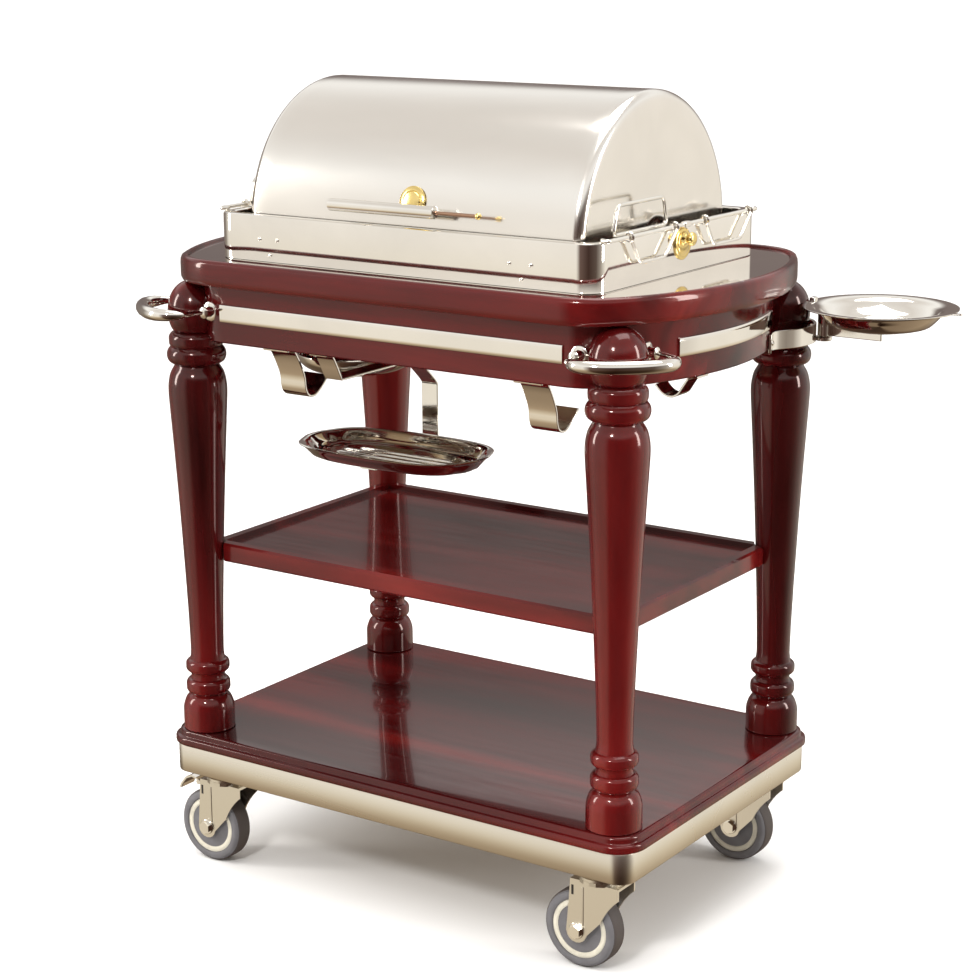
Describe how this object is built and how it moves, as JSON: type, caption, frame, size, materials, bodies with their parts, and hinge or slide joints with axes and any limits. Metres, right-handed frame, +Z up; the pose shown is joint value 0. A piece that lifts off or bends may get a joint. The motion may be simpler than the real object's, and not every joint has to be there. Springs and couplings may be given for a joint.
{
  "type": "food service trolley",
  "caption": "Wooden carving trolley on casters with turned legs, two shelves, a roll-top chafing dish, wire handles, push handles, hooks, a hanging tray and a swinging plate arm.",
  "frame": {"origin": "on the floor, under the centre of the whole object's outline", "axes": "+Z up; -Y towards the side the lid's grip faces, the server's side; +X towards the end with the plate holder"},
  "size_m": [1.0566, 0.669, 1.163],
  "materials": {
    "mahogany": "gloss varnish",
    "polished_steel": "mirror polish",
    "satin_steel": "satin",
    "brass": "polished",
    "tyre": "matt"
  },
  "bodies": {
    "trolley": {"caster_plate_front_left": "satin_steel", "leg_front_left": "mahogany", "caster_plate_front_right": "satin_steel", "leg_front_right": "mahogany", "caster_plate_back_right": "satin_steel", "leg_back_right": "mahogany", "caster_plate_back_left": "satin_steel", "leg_back_left": "mahogany", "base_board": "mahogany", "mid_shelf": "mahogany", "apron": "mahogany", "top_slab": "mahogany", "base_skirt": "satin_steel", "water_pan": "satin_steel", "hook_front_left": "satin_steel", "hook_front_right": "satin_steel", "hook_right_end": "satin_steel", "trim_band_front": "polished_steel", "trim_band_back": "polished_steel", "trim_band_left": "polished_steel", "trim_band_right": "polished_steel", "corner_handle_front_left": "polished_steel", "corner_handle_front_right": "polished_steel", "corner_handle_back_left": "polished_steel", "deck_plate": "polished_steel", "chafer_box": "polished_steel", "food_pan": "polished_steel", "end_rail_left": "polished_steel", "end_rail_right": "polished_steel", "burner_carrier": "polished_steel", "tray_strap": "polished_steel", "plate_bracket": "polished_steel", "lid_pivot_left": "brass", "lid_pivot_right": "brass"},
    "caster_front_left": {"caster_fork_front_left": "satin_steel", "axle_bolt_front_left": "satin_steel"},
    "wheel_front_left": {"wheel_front_left": "tyre"},
    "caster_front_right": {"caster_fork_front_right": "satin_steel", "axle_bolt_front_right": "satin_steel"},
    "wheel_front_right": {"wheel_front_right": "tyre"},
    "caster_back_right": {"caster_fork_back_right": "satin_steel", "axle_bolt_back_right": "satin_steel"},
    "wheel_back_right": {"wheel_back_right": "tyre"},
    "caster_back_left": {"caster_fork_back_left": "satin_steel", "axle_bolt_back_left": "satin_steel"},
    "wheel_back_left": {"wheel_back_left": "tyre"},
    "brake_front_left": {"brake_lever_front_left": "polished_steel"},
    "brake_back_left": {"brake_lever_back_left": "polished_steel"},
    "lid": {"roll_top_lid": "polished_steel", "lid_handle": "polished_steel", "lid_rosette": "brass"},
    "drop_handle_left_front": {"drop_handle_left_front": "polished_steel"},
    "drop_handle_left_back": {"drop_handle_left_back": "polished_steel"},
    "pan_bail_left": {"pan_bail_left": "polished_steel"},
    "drop_handle_right_front": {"drop_handle_right_front": "polished_steel"},
    "drop_handle_right_back": {"drop_handle_right_back": "polished_steel"},
    "pan_bail_right": {"pan_bail_right": "polished_steel"},
    "plate_arm": {"plate_arm": "polished_steel"},
    "dish": {"serving_dish": "polished_steel"},
    "tray": {"hanging_tray": "polished_steel"}
  },
  "joints": [
    {"name": "swivel_front_left", "type": "hinge", "parent": "trolley", "child": "caster_front_left", "pos_m": [-0.41466, -0.23648, 0.14], "axis": [0, 0, 1], "continuous": true},
    {"name": "wheel_spin_front_left", "type": "hinge", "parent": "caster_front_left", "child": "wheel_front_left", "pos_m": [-0.43966, -0.23648, 0.056], "axis": [0, 1, 0], "continuous": true},
    {"name": "swivel_front_right", "type": "hinge", "parent": "trolley", "child": "caster_front_right", "pos_m": [0.24134, -0.23648, 0.14], "axis": [0, 0, 1], "continuous": true},
    {"name": "wheel_spin_front_right", "type": "hinge", "parent": "caster_front_right", "child": "wheel_front_right", "pos_m": [0.21634, -0.23648, 0.056], "axis": [0, 1, 0], "continuous": true},
    {"name": "swivel_back_right", "type": "hinge", "parent": "trolley", "child": "caster_back_right", "pos_m": [0.24134, 0.19952, 0.14], "axis": [0, 0, 1], "continuous": true},
    {"name": "wheel_spin_back_right", "type": "hinge", "parent": "caster_back_right", "child": "wheel_back_right", "pos_m": [0.21634, 0.19952, 0.056], "axis": [0, 1, 0], "continuous": true},
    {"name": "swivel_back_left", "type": "hinge", "parent": "trolley", "child": "caster_back_left", "pos_m": [-0.41466, 0.19952, 0.14], "axis": [0, 0, 1], "continuous": true},
    {"name": "wheel_spin_back_left", "type": "hinge", "parent": "caster_back_left", "child": "wheel_back_left", "pos_m": [-0.43966, 0.19952, 0.056], "axis": [0, 1, 0], "continuous": true},
    {"name": "brake_press_front_left", "type": "hinge", "parent": "caster_front_left", "child": "brake_front_left", "pos_m": [-0.45866, -0.23648, 0.122], "axis": [0, -1, 0], "range_deg": [0, 12]},
    {"name": "brake_press_back_left", "type": "hinge", "parent": "caster_back_left", "child": "brake_back_left", "pos_m": [-0.45866, 0.19952, 0.122], "axis": [0, -1, 0], "range_deg": [0, 12]},
    {"name": "lid_roll", "type": "hinge", "parent": "trolley", "child": "lid", "pos_m": [-0.08666, -0.01848, 0.968], "axis": [-1, 0, 0], "range_deg": [0, 90]},
    {"name": "drop_swing_left_front", "type": "hinge", "parent": "trolley", "child": "drop_handle_left_front", "pos_m": [-0.40616, -0.10648, 0.987], "axis": [0, 1, 0], "range_deg": [0, 80]},
    {"name": "drop_swing_left_back", "type": "hinge", "parent": "trolley", "child": "drop_handle_left_back", "pos_m": [-0.40616, 0.09652, 0.987], "axis": [0, 1, 0], "range_deg": [0, 80]},
    {"name": "bail_tilt_left", "type": "hinge", "parent": "trolley", "child": "pan_bail_left", "pos_m": [-0.38766, -0.10748, 0.988], "axis": [0, -1, 0], "range_deg": [0, 55]},
    {"name": "drop_swing_right_front", "type": "hinge", "parent": "trolley", "child": "drop_handle_right_front", "pos_m": [0.23284, -0.10648, 0.987], "axis": [0, -1, 0], "range_deg": [0, 80]},
    {"name": "drop_swing_right_back", "type": "hinge", "parent": "trolley", "child": "drop_handle_right_back", "pos_m": [0.23284, 0.09652, 0.987], "axis": [0, -1, 0], "range_deg": [0, 80]},
    {"name": "bail_tilt_right", "type": "hinge", "parent": "trolley", "child": "pan_bail_right", "pos_m": [0.21434, -0.10748, 0.988], "axis": [0, 1, 0], "range_deg": [0, 55]},
    {"name": "arm_swing", "type": "hinge", "parent": "trolley", "child": "plate_arm", "pos_m": [0.31834, 0.23352, 0.824], "axis": [0, 0, 1], "range_deg": [0, 55]},
    {"name": "dish_lift", "type": "slide", "parent": "plate_arm", "child": "dish", "axis": [0, 0, 1], "range_m": [0, 0.06]},
    {"name": "tray_lift", "type": "slide", "parent": "trolley", "child": "tray", "axis": [0, 0, 1], "range_m": [0, 0.06]}
  ]
}
